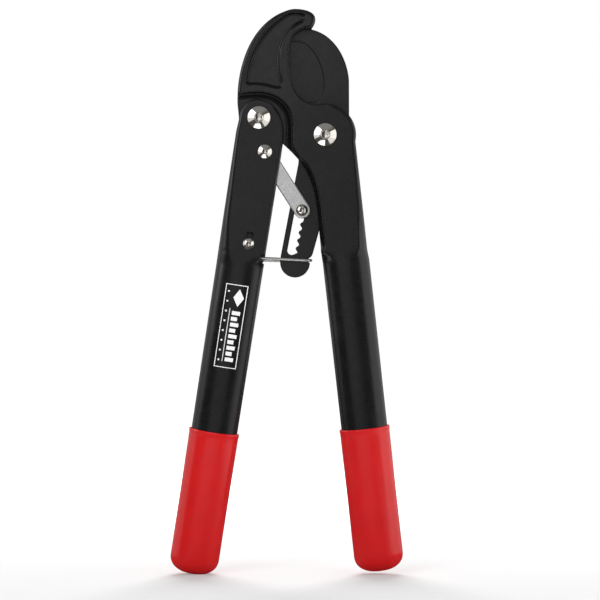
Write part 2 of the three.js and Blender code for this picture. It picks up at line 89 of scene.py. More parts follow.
class Lean:
    """A leaning piece's own axes: across to the right and down along it, from its pivot."""

    def __init__(self, pivot, lean):
        self.pivot = pivot
        self.c, self.s = math.cos(math.radians(lean)), math.sin(math.radians(lean))

    def world(self, across, down):
        x, z = self.pivot
        return x + across * self.c - down * self.s, z - across * self.s - down * self.c

    def local(self, x, z):
        u, v = x - self.pivot[0], z - self.pivot[1]
        return u * self.c - v * self.s, -u * self.s - v * self.c


LEVER = Lean(LEVER_PIVOT, 8.8)
RIGHT = Lean(BLADE_PIVOT, -6.3)
TANG = Lean(BLADE_PIVOT, 10.8)
UPRIGHT = Lean((0.0, 0.0), 0.0)

NECK = TANG.world(6.9, 89.2)
RATCHET_PIN = TANG.world(-6.1, 55.4)

# ---- Outlines -----------------------------------------------------------------------------------


def outline(start, *steps):
    """Points from a start and steps: one point is a straight step, three are a Bezier curve."""
    points = [np.array(start, float)]
    for step in steps:
        if np.ndim(step) == 1:
            points.append(np.array(step, float))
            continue
        a, (b, c, d) = points[-1], np.array(step, float)
        for t in np.linspace(0, 1, 27)[1:]:
            points.append(a * (1 - t) ** 3 + 3 * b * t * (1 - t) ** 2 + 3 * c * t * t * (1 - t) + d * t**3)
    return np.array(points)


def arc(centre, radius, start, end, count):
    angles = np.radians(np.linspace(start, end, count + 1))
    return [(centre[0] + radius * math.cos(a), centre[1] + radius * math.sin(a)) for a in angles]


def tapered(lean, across, down):
    """A handle's side, drawn in slightly on its way down."""
    rate = LEVER_TAPER if lean is LEVER else RIGHT_TAPER
    return across - math.copysign(rate, across) * down


def right_side(across, down):
    return RIGHT.world(tapered(RIGHT, across, down), down)


HOOK_OUTER = outline(
    (-34.5, 334), [(-35.5, 361.2), (-24.3, 394.2), (3.4, 401.2)], [(8, 401.9), (13.5, 401.1), (17, 399.4)],
    [(22, 396.8), (21.6, 392.2), (18.6, 388)],
)
HANDLE_TURN = right_side(RIGHT_INNER - 0.4, 82)
HANDLE_CURVE = [(24.2, 252), (23, 280), (10, 294.3)]
THROAT_END = arc(BLADE_PIVOT, HEAD_RADIUS, 104, 104, 1)[0]


def casting_outline():
    return outline(
        (18.6, 388), [(17.4, 386.6), (15.5, 387.2), (13.8, 387.4)],
        [(5.5, 386.6), (1.3, 378.2), (1.8, 368.8)], [(0.8, 354.6), (4, 334.5), THROAT_END],
        *arc(BLADE_PIVOT, HEAD_RADIUS, 96, -12, 30),
        right_side(RIGHT_OUTER, 330), right_side(RIGHT_INNER, 330), right_side(RIGHT_INNER, 100),
        HANDLE_TURN, HANDLE_CURVE, (-2.1, 305.7),
        *arc(LEVER_PIVOT, 14.4, 290, 176, 20), *HOOK_OUTER,
    )


RECESS = outline(
    (-45, 341), (-35, 341), [(-21.6, 342.5), (-10.3, 344.4), (-0.7, 334.1)],
    [(7.2, 325.4), (3.6, 313.3), (5, 302.8)], (9.6, 295.2), (8, 290), (-45, 290),
)
POCKET = outline(
    (1.9, 398), [(6, 398.9), (10.5, 398.6), (12.3, 397.6)], [(14, 396.4), (13.6, 393.2), (10, 391.5)],
    [(3.5, 389), (-2.6, 380.5), (-4.5, 371.5)], [(-5.6, 365), (-4.3, 355), (-2.7, 349.5)],
    [(-1.9, 346.5), (-4, 344.9), (-7, 345.3)], [(-12, 346.5), (-18, 348.6), (-25.5, 347.9)],
    [(-27.5, 347.7), (-28.4, 349.5), (-28, 352)], [(-26.5, 370), (-16, 388), (1.9, 398)],
)


EDGE_START = (3.6, 333)
EDGE_CURVES = ([(2, 341), (-3.4, 350), (-3.2, 364)], [(-3, 377), (1.5, 387), (12, 392.4)])


def blade_outline():
    return outline(
        (12, 392.4), (18.5, 387.3), [(34.5, 383.6), (43.7, 366.5), (44.8, 351.1)], (44.9, 324.8),
        [(44.8, 318), (44.4, 315), (BLADE_PIVOT[0] + 16.6, BLADE_PIVOT[1])],
        *arc(BLADE_PIVOT, 16.6, 0, -50, 12)[1:],
        [TANG.world(12, 26), TANG.world(9.4, 52), TANG.world(8.5, 69.2)], TANG.world(7.4, 82.4),
        [TANG.world(7.2, 85.6), TANG.world(6.6, 86.4), TANG.world(6, 87.4)],
        *arc(TANG.world(-4, 92.9), 10.6, 8, -190, 48),
        TANG.world(-14.9, 90), TANG.world(-14.9, 24),
        [TANG.world(-14.9, 14), (2.4, 321), EDGE_START], *EDGE_CURVES,
    )


BLADE_HOLLOW = outline(
    (-20, 379.4), (9, 379.4), [(20, 378), (28.6, 359.5), (27.4, 346.5)],
    [(27, 341.5), (25, 338), (21, 335)], (-20, 335),
)


def slot_outline():
    """The ratchet slot: a straight left side, and four rounded teeth below the pin's first seat."""
    left, tip, root, top, floor = -11.0, -5.6, -3.7, 52.8, 3.1
    points = [(left, top + 2)]
    for angle in np.radians(np.linspace(0, 120, 13)):
        points.append((left + floor - floor * math.cos(angle), 88 - floor + floor * math.sin(angle)))
    for tooth in np.linspace(3.5, -0.5, 61):
        across = (tip + root) / 2 - (root - tip) / 2 * math.cos(tooth * 2 * math.pi)
        points.append((across, 65.4 + tooth * 5.8))
    points += [(root, top + 2), (root - 2, top), (left + 2, top)]
    return np.array([TANG.world(*p) for p in points])


def lever_outline():
    head = [LEVER.local(*p) for p in arc(LEVER_PIVOT, 13.7, 172, 100, 20)]
    return outline(
        (tapered(LEVER, LEVER_OUTER, 340), 340), (LEVER_OUTER, 12), *head,
        [(9, -15), (18.6, -4), (19.6, 12)], (LEVER_INNER, 24), (tapered(LEVER, LEVER_INNER, 340), 340),
    )


# ---- Solids as distance fields ------------------------------------------------------------------


def distance(points, x, z, closed=True):
    """Distance to an outline, below zero inside a closed one."""
    best = np.full(np.broadcast(x, z).shape, 1e9)
    inside = np.zeros(best.shape, bool)
    ends = np.roll(points, -1, 0) if closed else points[1:]
    for (x0, z0), (x1, z1) in zip(points, ends):
        dx, dz = x1 - x0, z1 - z0
        length = dx * dx + dz * dz
        if length < 1e-12:
            continue
        t = np.clip(((x - x0) * dx + (z - z0) * dz) / length, 0, 1)
        best = np.minimum(best, (x - x0 - t * dx) ** 2 + (z - z0 - t * dz) ** 2)
        if closed and dz:
            inside ^= ((z0 > z) != (z1 > z)) & (x < (z - z0) * dx / dz + x0)
    return np.where(inside, -1, 1) * np.sqrt(best)


def circle(centre, radius, x, z):
    return np.hypot(x - centre[0], z - centre[1]) - radius


def ease(value, low, high):
    t = np.clip((value - low) / (high - low), 0, 1)
    return t * t * (3 - 2 * t)


def both(a, b, rounding):
    """What is inside both fields, with its edge rounded."""
    u, v = a + rounding, b + rounding
    return np.minimum(np.maximum(u, v), 0) + np.hypot(np.maximum(u, 0), np.maximum(v, 0)) - rounding


def join(a, b, soft=0.6):
    h = np.maximum(soft - np.abs(a - b), 0) / soft
    return np.minimum(a, b) - h * h * soft / 4


def cut(a, b, soft=0.5):
    return -join(-a, b, soft)


def slab(flat, y, front, back, rounding):
    """A flat outline as a plate between two depths, with its rims rounded."""
    return both(flat, np.maximum(front - y, y - back), rounding)


OVAL = 2.35
SHARP_RIM = 0.6
TUBE_MIDDLE, TUBE_HALF = (FRONT + BACK) / 2, (BACK - FRONT) / 2


def oval(g, outer, inner, wall=0.0):
    """The tube's section: an oval, a little fuller than an ellipse."""
    a, b = tapered(g.lean, outer, g.d), tapered(g.lean, inner, g.d)
    half = np.abs(b - a) / 2 - wall
    thick = TUBE_HALF - wall
    u, v = np.abs(g.a - (a + b) / 2) / half, np.abs(g.y - TUBE_MIDDLE) / thick
    return ((u**OVAL + v**OVAL) ** (1 / OVAL) - 1) * thick


def handle(g, flat, front, rim, outer, inner, start):
    """A flat plate whose rims swell from the start on, until it is an oval tube."""
    most, roundest = 9.0, 9.6
    swell = most * ease(g.d, start - 1, start + 10)
    plate = both(flat, np.maximum(front - g.y, g.y - BACK), np.minimum(rim + swell, roundest))
    tube = ease(g.d, start + 1, start + 11)
    return plate * (1 - tube) + oval(g, outer, inner) * tube


def spread(*stops):
    """Grid lines from (start, step) stops up to a last plain number."""
    lines = []
    for (low, step), after in zip(stops[:-1], stops[1:]):
        high = after[0] if isinstance(after, tuple) else after
        lines.append(np.linspace(low, high, max(2, round((high - low) / step)), endpoint=False))
    return np.concatenate([*lines, [stops[-1]]])


class Grid:
    """Points to measure a solid at, along a leaning piece's own axes."""

    def __init__(self, lean, across, depth, down):
        self.lean, self.axes = lean, (across, depth, down)
        self.a, self.d = across[:, None, None], down[None, None, :]
        self.y = depth[None, :, None]
        self.x, self.z = lean.world(self.a, self.d)

    def mesh(self, name, field):
        far = 1000.0
        volume = openvdb.FloatGrid(far)
        volume.copyFromArray(np.broadcast_to(field, [len(a) for a in self.axes]).astype(np.float32))
        points, quads = volume.convertToQuads(0.0)
        a, y, d = (np.interp(points[:, i], np.arange(len(line)), line) for i, line in enumerate(self.axes))
        x, z = self.lean.world(a, d)
        return mesh_from(name, np.stack([x, y, z], 1), quads)


# ---- Meshes -------------------------------------------------------------------------------------


def mesh_from(name, points, quads):
    """A smooth closed mesh in metres, its faces turned outwards."""
    points, quads = np.asarray(points, float) * MM, np.asarray(quads, np.int32)
    corners = points[quads]
    volume = 0.0
    for i in range(1, quads.shape[1] - 1):
        volume += np.einsum("ij,ij->", corners[:, 0], np.cross(corners[:, i], corners[:, i + 1]))
    if volume < 0:
        quads = quads[:, ::-1]
    mesh = bpy.data.meshes.new(name)
    mesh.vertices.add(len(points))
    mesh.vertices.foreach_set("co", points.astype(np.float32).ravel())
    mesh.loops.add(quads.size)
    mesh.loops.foreach_set("vertex_index", np.ascontiguousarray(quads).ravel())
    mesh.polygons.add(len(quads))
    mesh.polygons.foreach_set("loop_start", np.arange(len(quads), dtype=np.int32) * quads.shape[1])
    mesh.polygons.foreach_set("use_smooth", np.ones(len(quads), bool))
    mesh.update(calc_edges=True)
    mesh.validate()
    made = bpy.data.objects.new(name, mesh)
    bpy.context.scene.collection.objects.link(made)
    return made


def rings_mesh(name, rings):
    """A closed mesh through rings of points, each end closed on its own middle."""
    count = len(rings[0])
    points = np.concatenate([*rings, [np.mean(rings[0], 0)], [np.mean(rings[-1], 0)]])
    here = np.arange(count)
    after = (here + 1) % count
    quads = []
    for i in range(len(rings) - 1):
        low, high = i * count, (i + 1) * count
        quads.append(np.stack([low + here, low + after, high + after, high + here], 1))
    first, last = len(points) - 2, len(points) - 1
    top = (len(rings) - 1) * count
    pairs = np.arange(0, count, 2)
    onward = (pairs + 2) % count
    quads.append(np.stack([onward, pairs + 1, pairs, np.full(len(pairs), first)], 1))
    quads.append(np.stack([top + pairs, top + pairs + 1, top + onward, np.full(len(pairs), last)], 1))
    return mesh_from(name, points, np.concatenate(quads))


TURNS = 96


def turned(name, centre, profile, closed_ring=False):
    """A piece turned about Y. A profile step is (radius, depth), or (radius, depth, 6) for a hexagon."""
    angles = np.linspace(0, 2 * math.pi, TURNS, endpoint=False)
    rings = []
    for radius, depth, *sides in profile:
        r = np.full(TURNS, float(radius))
        if sides:
            part = math.pi / sides[0]
            r = radius / np.cos((angles + part) % (2 * part) - part)
        rings.append(np.stack([
            centre[0] + r * np.cos(angles), np.full(TURNS, float(depth)), centre[1] + r * np.sin(angles),
        ], 1))
    if not closed_ring:
        return rings_mesh(name, rings)
    here = np.arange(TURNS)
    after = (here + 1) % TURNS
    quads = []
    for i in range(len(rings)):
        low, high = i * TURNS, (i + 1) % len(rings) * TURNS
        quads.append(np.stack([low + here, low + after, high + after, high + here], 1))
    return mesh_from(name, np.concatenate(rings), np.concatenate(quads))


def sharpen(piece, angle=35):
    """Splits a piece's shading at its real edges."""
    piece.data.set_sharp_from_angle(angle=math.radians(angle))


# ---- Materials ----------------------------------------------------------------------------------


class Nodes:
    """A node material under construction: noise in the object's own space, feeding one shader."""

    def __init__(self, name):
        self.material = bpy.data.materials.new(name)
        self.material.use_nodes = True
        self.tree = self.material.node_tree
        self.shader = self.tree.nodes["Principled BSDF"]
        self.place = self.tree.nodes.new("ShaderNodeTexCoord").outputs["Object"]

    def set(self, **values):
        for key, value in values.items():
            self.shader.inputs[key.replace("_", " ")].default_value = value

    def link(self, a, b):
        self.tree.links.new(a, b)

    def noise(self, scale, detail=3.0):
        node = self.tree.nodes.new("ShaderNodeTexNoise")
        node.inputs["Scale"].default_value = scale
        node.inputs["Detail"].default_value = detail
        self.link(self.place, node.inputs["Vector"])
        return node.outputs["Fac"]

    def ramp(self, value, low, high, to_low, to_high):
        node = self.tree.nodes.new("ShaderNodeMapRange")
        for key, number in (("From Min", low), ("From Max", high), ("To Min", to_low), ("To Max", to_high)):
            node.inputs[key].default_value = number
        self.link(value, node.inputs["Value"])
        return node.outputs["Result"]

    def mix(self, value, dark, light):
        node = self.tree.nodes.new("ShaderNodeMix")
        node.data_type = "RGBA"
        self.link(value, node.inputs["Factor"])
        node.inputs["A"].default_value = (*dark, 1)
        node.inputs["B"].default_value = (*light, 1)
        return node.outputs["Result"]

    def bump(self, value, strength, depth, before=None):
        node = self.tree.nodes.new("ShaderNodeBump")
        node.inputs["Strength"].default_value = strength
        node.inputs["Distance"].default_value = depth
        self.link(value, node.inputs["Height"])
        if before is not None:
            self.link(before, node.inputs["Normal"])
        return node.outputs["Normal"]

    def color(self, value):
        self.link(value, self.shader.inputs["Base Color"])

    def rough(self, value):
        self.link(value, self.shader.inputs["Roughness"])

    def normal(self, value):
        self.link(value, self.shader.inputs["Normal"])


def coated(name, dark, light, rough, grain):
    """A black powder coat: a fine even grain over faint broad clouds."""
    m = Nodes(name)
    clouds = m.noise(45, 3)
    fine = m.noise(1700, 2)
    m.color(m.mix(m.ramp(clouds, 0.3, 0.7, 0, 1), dark, light))
    m.rough(m.ramp(m.noise(160, 4), 0.3, 0.7, rough - 0.04, rough + 0.05))
    m.normal(m.bump(fine, grain, 0.00004, m.bump(m.noise(320, 2), 0.05, 0.0001)))
    m.set(IOR=1.45)
    return m.material


def metal(name, dark, light, rough, wear=0.04, scale=900):
    """Bright metal, with faint clouds, fine marks and a little change in gloss."""
    m = Nodes(name)
    marks = m.noise(scale, 4)
    m.color(m.mix(m.ramp(m.noise(130, 3), 0.3, 0.7, 0, 1), dark, light))
    m.rough(m.ramp(marks, 0.3, 0.7, max(rough - wear, 0.02), rough + wear))
    m.normal(m.bump(marks, 0.05, 0.00002))
    m.set(Metallic=1.0)
    return m.material


def vinyl():
    """Smooth dipped vinyl: glossy, with a slow ripple."""
    m = Nodes("dipped_vinyl")
    m.color(m.mix(m.ramp(m.noise(35, 2), 0.3, 0.7, 0, 1), (0.54, 0.0034, 0.0044), (0.60, 0.0048, 0.0058)))
    m.rough(m.ramp(m.noise(90, 3), 0.3, 0.7, 0.21, 0.27))
    m.normal(m.bump(m.noise(30, 1), 0.15, 0.0006))
    m.set(IOR=1.5)
    return m.material


def print_white():
    """White ink, a little uneven, printed on the coat."""
    m = Nodes("print_white")
    m.color(m.mix(m.noise(700, 3), (0.76, 0.76, 0.76), (0.88, 0.88, 0.88)))
    m.rough(m.ramp(m.noise(500, 2), 0.3, 0.7, 0.42, 0.55))
    m.normal(m.bump(m.noise(1500, 2), 0.05, 0.00002))
    return m.material


MATERIALS = {
    "casting_black": coated("casting_coat", (0.0044, 0.0044, 0.0046), (0.0062, 0.0062, 0.0064), 0.26, 0.20),
    "lever_black": coated("lever_coat", (0.0042, 0.0042, 0.0044), (0.0060, 0.0060, 0.0062), 0.26, 0.20),
    "blade_black": coated("blade_coat", (0.0062, 0.0062, 0.0065), (0.0080, 0.0080, 0.0084), 0.26, 0.10),
    "grip_red": vinyl(),
    "bolt_chrome": metal("bolt_chrome", (0.70, 0.67, 0.62), (0.80, 0.77, 0.72), 0.13, 0.04),
    "fastener_steel": metal("fastener_zinc", (0.50, 0.50, 0.49), (0.62, 0.62, 0.61), 0.3, 0.06),
    "link_steel": metal("link_tumbled", (0.90, 0.90, 0.90), (0.98, 0.98, 0.98), 0.32, 0.08, 1100),
    "spring_wire": metal("spring_wire", (0.72, 0.71, 0.70), (0.86, 0.85, 0.84), 0.33, 0.06),
    "bush_bronze": metal("bush_bronze", (0.42, 0.27, 0.11), (0.54, 0.36, 0.17), 0.4, 0.06),
}
RECORD_SLOTS = {s["node"]: s["material_slot"] for s in frame["record"]["subparts"]}
BODIES = {n: body for body, nodes in frame["record"]["behaviour"]["bodies"].items() for n in nodes}


def stand_for(piece, node):
    """The piece rides, shows and is finished as its CAD node."""
    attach(piece, BODIES[node])
    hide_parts(node)
    piece.data.materials.clear()
    piece.data.materials.append(MATERIALS[RECORD_SLOTS[node]])
    return piece


# ---- Hook casting with the right handle ---------------------------------------------------------


def make_casting():
    g = Grid(
        RIGHT, spread((-75.5, 0.52), 26.0), spread((-12.0, 0.5), 10.0),
        spread((-92.5, 0.6), (118.0, 4.0), (292.0, 0.8), 299.0),
    )
    flat = distance(casting_outline(), g.x, g.z)
    shoulder = np.array([*arc(BLADE_PIVOT, HEAD_RADIUS, 60, -12, 12), right_side(RIGHT_OUTER, 330)])
    outer = np.minimum(
        distance(HOOK_OUTER, g.x, g.z, closed=False), distance(shoulder, g.x, g.z, closed=False),
    )
    fullness = 1.9 + 2.0 * ease(g.d, 10, 80) + 5.1 * ease(g.d, 52, 94)
    rim = SHARP_RIM + fullness * (1 - ease(outer, 3, 9))

    # The hook's face leans back a little from a soft crease at the head.
    crease_x, crease_z = 5.5, 333.0
    beyond = -0.72 * (g.x - crease_x) + 0.69 * (g.z - crease_z)
    face = FRONT + FACE_LEAN * np.maximum(beyond, 0) * ease(beyond, 0, 4)

    # The inner edge of the handle is drafted, so that its wall faces left.
    curve = outline(right_side(RIGHT_INNER, 104), HANDLE_TURN, HANDLE_CURVE, (6, 298.0))
    drafted = (1 - ease(distance(curve, g.x, g.z, closed=False), 4, 8)) * ease(g.d, 8, 20)
    taken, given, draft_from = 3.1, 1.1, -2.5
    forward = np.clip((draft_from - g.y) / (draft_from - FRONT), 0, 1)
    inset = taken * forward * (1 - ease(g.d, 77, 86)) - given * (1 - ease(g.d, 62, 80))
    body = handle(g, flat + drafted * inset, face, rim, RIGHT_OUTER, RIGHT_INNER, RIGHT_TUBE_START)

    # Room for the blade and tang, open above the pivot and to the left, with a wall behind the pivot.
    web = RIGHT_OUTER - WALL
    room = outline(
        (-60, 420), (80, 420), RIGHT.world(45, 9), RIGHT.world(web, 9), right_side(web, 84),
        right_side(-30, 84), (-60, 220),
    )
    body = cut(body, slab(distance(room, g.x, g.z), g.y, CASTING_BACK, CHANNEL_BACK, 0.3))
    relief_radius = 20.5
    wall = arc(BLADE_PIVOT, relief_radius, -10, 200, 32)
    relief = outline(
        (-60, 420), (80, 420), (80, wall[0][1]), *wall, (23, 280), [(23, 256), RIGHT.world(-13, 80),
        RIGHT.world(-14, 101)], (-60, 200),
    )
    body = cut(body, slab(distance(relief, g.x, g.z), g.y, CASTING_BACK, BACK + 8, 0.3), 0.8)
    recess = distance(RECESS, g.x, g.z)
    dish = 1.5
    dished = LUG_FRONT + dish * (1 - ease(-recess, 0.3, 5.0))
    body = cut(body, slab(recess, g.y, FRONT - 8, dished, 0.8), 0.8)

    # The pocket in the hook's face.
    depth = np.clip(g.y - face, 0, POCKET_DEPTH)
    walls = distance(POCKET, g.x, g.z) - POCKET_DRAFT + POCKET_DRAFT * depth
    body = cut(body, both(walls, g.y - face - POCKET_DEPTH, 0.7), 0.7)

    boss = slab(circle(LEVER_PIVOT, BOSS_RADIUS, g.x, g.z), g.y, LUG_FRONT, LUG_BACK, 0.3)
    body = join(body, boss, 0.6)

    # The tube's bore, open at its lower end.
    bore = oval(g, RIGHT_OUTER, RIGHT_INNER, TUBE_WALL)
    body = np.maximum(body, -np.maximum(bore, RIGHT_BORE_START - g.d))
    body = np.maximum(body, g.d - RIGHT_LENGTH)
    body = np.maximum(body, -circle(BLADE_PIVOT, PIVOT_BORE, g.x, g.z))
    body = np.maximum(body, -circle(LEVER_PIVOT, LUG_BORE, g.x, g.z))
    return g.mesh("hook_casting", body)


# ---- Lever handle -------------------------------------------------------------------------------

LINK_ON_LEVER = LEVER.local(*LINK_PIVOT)
SPRING_ON_LEVER = LEVER.local(*SPRING_SCREW)


def make_lever():
    g = Grid(
        LEVER, spread((-16.5, 0.5), 22.5), spread((-12.0, 0.55), 10.0),
        spread((-17.5, 0.62), (126.0, 4.0), (307.0, 0.8), 314.0),
    )
    flat = distance(lever_outline(), g.a, g.d)
    outside = 1 - ease(g.a, 0, 7)
    fullness = 1.1 + 1.1 * ease(g.d, -14, 6) + 3.0 * ease(g.d, 0, 90) + 3.8 * ease(g.d, 70, 108)
    rim = SHARP_RIM + outside * fullness

    # The inner side is drawn in at its front and back rims, as far down as the tube.
    drawn_in, rim_depth = 1.1, 3.5
    rims = np.clip((np.abs(g.y - TUBE_MIDDLE) - (TUBE_HALF - rim_depth)) / rim_depth, 0, 1)
    inset = drawn_in * ease(g.a, 6, 12) * (1 - ease(g.d, 92, 102)) * rims
    body = handle(g, flat + inset, FRONT, rim, LEVER_OUTER, LEVER_INNER, LEVER_TUBE_START)

    channel = np.array([
        (-40, -30), (40, -30), (40, CHANNEL_END), (LEVER_OUTER + WALL, CHANNEL_END),
        (LEVER_OUTER + WALL, 19), (-40, 19),
    ])
    body = cut(body, slab(distance(channel, g.a, g.d), g.y, CHANNEL_FRONT, CHANNEL_BACK, 0.5), 0.5)
    bore = oval(g, LEVER_OUTER, LEVER_INNER, TUBE_WALL)
    body = np.maximum(body, -np.maximum(bore, LEVER_BORE_START - g.d))
    body = np.maximum(body, g.d - LEVER_LENGTH)

    # The pressed slot above the spring screw, the notch where the wire comes out, and the bores.
    sx, sd = SPRING_ON_LEVER
    slot_length, slot_depth = 6, 2.2
    nearest = np.clip(g.d, sd - slot_length, sd)
    obround = np.hypot(g.a - sx, g.d - nearest) - SPRING_BORE
    body = cut(body, np.maximum(obround, g.y - (FRONT + slot_depth)), 0.3)
    front_wall = np.maximum(g.y - CHANNEL_FRONT - 1, FRONT - 9 - g.y)
    wire_exit = circle((18.6, 98), 2.7, g.a, g.d)
    body = cut(body, np.maximum(wire_exit, front_wall), 0.4)
    body = np.maximum(body, -circle(SPRING_ON_LEVER, SPRING_BORE, g.a, g.d))
    body = np.maximum(body, -circle(LINK_ON_LEVER, LINK_BORE, g.a, g.d))
    body = np.maximum(body, -circle((0, 0), PIVOT_BORE, g.a, g.d))
    return g.mesh("lever_casting", body)


# ---- Blade and links ----------------------------------------------------------------------------


def make_blade():
    g = Grid(UPRIGHT, spread((-6.5, 0.38), 46.5), spread((-2.8, 0.35), 2.8), spread((-394.0, 0.38), -205.0))
    flat = distance(blade_outline(), g.x, g.z)
    edge = outline(EDGE_START, *EDGE_CURVES)
    bevel_depth, bevel_width = 3.2, 6.5
    across = distance(edge, g.x, g.z, closed=False) / bevel_width
    ground = BLADE_HALF - bevel_depth * np.clip(1 - across, 0, 1)
    hollow = distance(BLADE_HOLLOW, g.x, g.z)
    front = -BLADE_HALF + HOLLOW_DEPTH * (1 - ease(hollow, -1.2, 0.2))
    body = both(flat, np.maximum(front - g.y, g.y - ground), 0.3)
    slot = distance(slot_outline(), g.x, g.z)
    body = cut(body, np.minimum(slot, 50) + 0 * g.y, 0.3)
    body = np.maximum(body, -circle(NECK, NOTCH_RADIUS, g.x, g.z))
    body = np.maximum(body, -circle(BLADE_PIVOT, BLADE_BORE, g.x, g.z))
    return g.mesh("blade_steel", body)


def make_link(name, front, back):
    (x0, z0), (x1, z1) = LINK_PIVOT, RATCHET_PIN
    heading = math.degrees(math.atan2(x0 - x1, z0 - z1))
    lean = Lean(LINK_PIVOT, heading)
    length = math.hypot(x1 - x0, z1 - z0)
    g = Grid(
        lean, spread((-7.0, 0.3), 7.0), spread((front - 0.8, 0.25), back + 0.8),
        spread((-7.0, 0.3), length + 7.0),
    )
    flat = np.hypot(g.a, g.d - np.clip(g.d, 0, length)) - LINK_HALF_WIDTH
    body = slab(flat, g.y, front, back, 0.45)
    body = np.maximum(body, -circle((0, 0), LINK_BORE, g.a, g.d))
    body = np.maximum(body, -circle((0, length), PIN_BORE, g.a, g.d))
    return g.mesh(name, body)


# ---- Grips --------------------------------------------------------------------------------------


def make_grip(name, lean, outer, inner, length):
    """A dipped grip in rings: the pocket, up to the rolled mouth, then down outside to the round end."""
    bottom = length + GRIP_PAST_TUBE
    top = bottom - GRIP_LENGTH
    shoulder = bottom - GRIP_END
    wide = GRIP_WALL + GAP
    lip = 0.3
    steps = []
    for down in np.linspace(length + GAP, top + 6, 26):
        steps.append((down, GAP, 1.0))
    steps += [(top + 3, GAP, 1.0), (top + 1, GAP, 1.0), (top + 0.35, GAP + 0.1, 1.0)]
    for angle in np.radians(np.linspace(20, 160, 9)):
        roll = (wide + lip - GAP) / 2
        steps.append((top + roll - roll * math.sin(angle), GAP + roll - roll * math.cos(angle), 1.0))
    steps += [(top + 1.3, wide + lip, 1.0), (top + 2.1, wide + lip * 0.7, 1.0)]
    steps.append((top + 3.0, wide + 0.06, 1.0))
    for down in np.linspace(top + 5, shoulder, 34):
        steps.append((down, wide, 1.0))
    for angle in np.radians(np.linspace(0, 90, 27)[1:-1]):
        steps.append((shoulder + GRIP_END * math.sin(angle) ** 0.92, wide, math.cos(angle) ** 0.84))
    angles = np.linspace(0, 2 * math.pi, 144, endpoint=False)
    power = 2 / OVAL
    u = np.sign(np.cos(angles)) * np.abs(np.cos(angles)) ** power
    v = np.sign(np.sin(angles)) * np.abs(np.sin(angles)) ** power
    rings = []
    for down, grow, shrink in steps:
        a, b = sorted((tapered(lean, outer, down), tapered(lean, inner, down)))
        half, thick = ((b - a) / 2 + grow) * shrink, (TUBE_HALF + grow) * shrink
        slump = 1.0 * (1 - ease(down, top, top + 14)) * ease(down, top - 1, top)
        low = down + slump * np.maximum(-v, 0) ** 2
        across = (a + b) / 2 + half * u
        x, z = lean.world(across, low)
        rings.append(np.stack([x, TUBE_MIDDLE + thick * v, z], 1))
    return rings_mesh(name, rings)


# ---- Fasteners ----------------------------------------------------------------------------------


def make_bolt(name, centre, head, height, shank, socket, under, end):
    """A button head with nearly straight flanks and a ring round its hexagon socket."""
    rim, lip = height * 0.24, socket * 1.46
    face = under - height
    profile = [(0.02, end), (shank - 0.5, end), (shank, end - 0.5), (shank, under)]
    profile += [(head - 0.2, under), (head, under - 0.2), (head, under - rim * 0.55)]
    flank = np.tan(np.radians([62, 48, *np.linspace(33, 24, 20)]))
    rise = np.cumsum(flank)
    rise *= (height - rim * 0.55) / rise[-1]
    for radius, up in zip(np.linspace(head - 0.1, lip, len(flank)), rise):
        profile.append((radius, under - rim * 0.55 - up))
    profile += [(lip - 0.1, face + 0.05), (lip - 0.2, face + 0.4), (lip - 0.3, face + 0.45)]
    bead = (lip - 0.3 - socket * 1.16) / 2
    for angle in np.radians(np.linspace(15, 165, 9)):
        profile.append((lip - 0.3 - bead + bead * math.cos(angle), face + 0.45 - 0.4 * math.sin(angle)))
    profile += [(socket * 1.08, face + 0.5, 6), (socket, face + 0.6, 6)]
    profile += [(socket, face + height * 0.52, 6), (socket * 0.5, face + height * 0.58)]
    profile.append((0.02, face + height * 0.6))
    made = turned(name, centre, profile)
    sharpen(made, 40)
    return made


def make_ring(name, centre, outer, inner, front, back):
    """A washer, bush or spacer with broken edges."""
    e = 0.2
    profile = [
        (inner, front + e), (inner + e, front), (outer - e, front), (outer, front + e),
        (outer, back - e), (outer - e, back), (inner + e, back), (inner, back - e),
    ]
    made = turned(name, centre, profile, closed_ring=True)
    sharpen(made)
    return made


def make_nut(name, centre, flats, bore, front, back):
    """A hexagon nut with a round collar on its back."""
    step = front + (back - front) * 0.72
    profile = [
        (bore, front + 0.2), (bore + 0.2, front), (flats * 0.97, front), (flats, front + 0.25, 6),
        (flats, step - 0.25, 6), (flats * 0.97, step), (flats * 0.88, step), (flats * 0.86, step + 0.15),
        (flats * 0.84, back - 0.25), (flats * 0.8, back), (bore + 0.2, back), (bore, back - 0.2),
    ]
    made = turned(name, centre, profile, closed_ring=True)
    sharpen(made, 30)
    return made


# ---- Spring bail --------------------------------------------------------------------------------


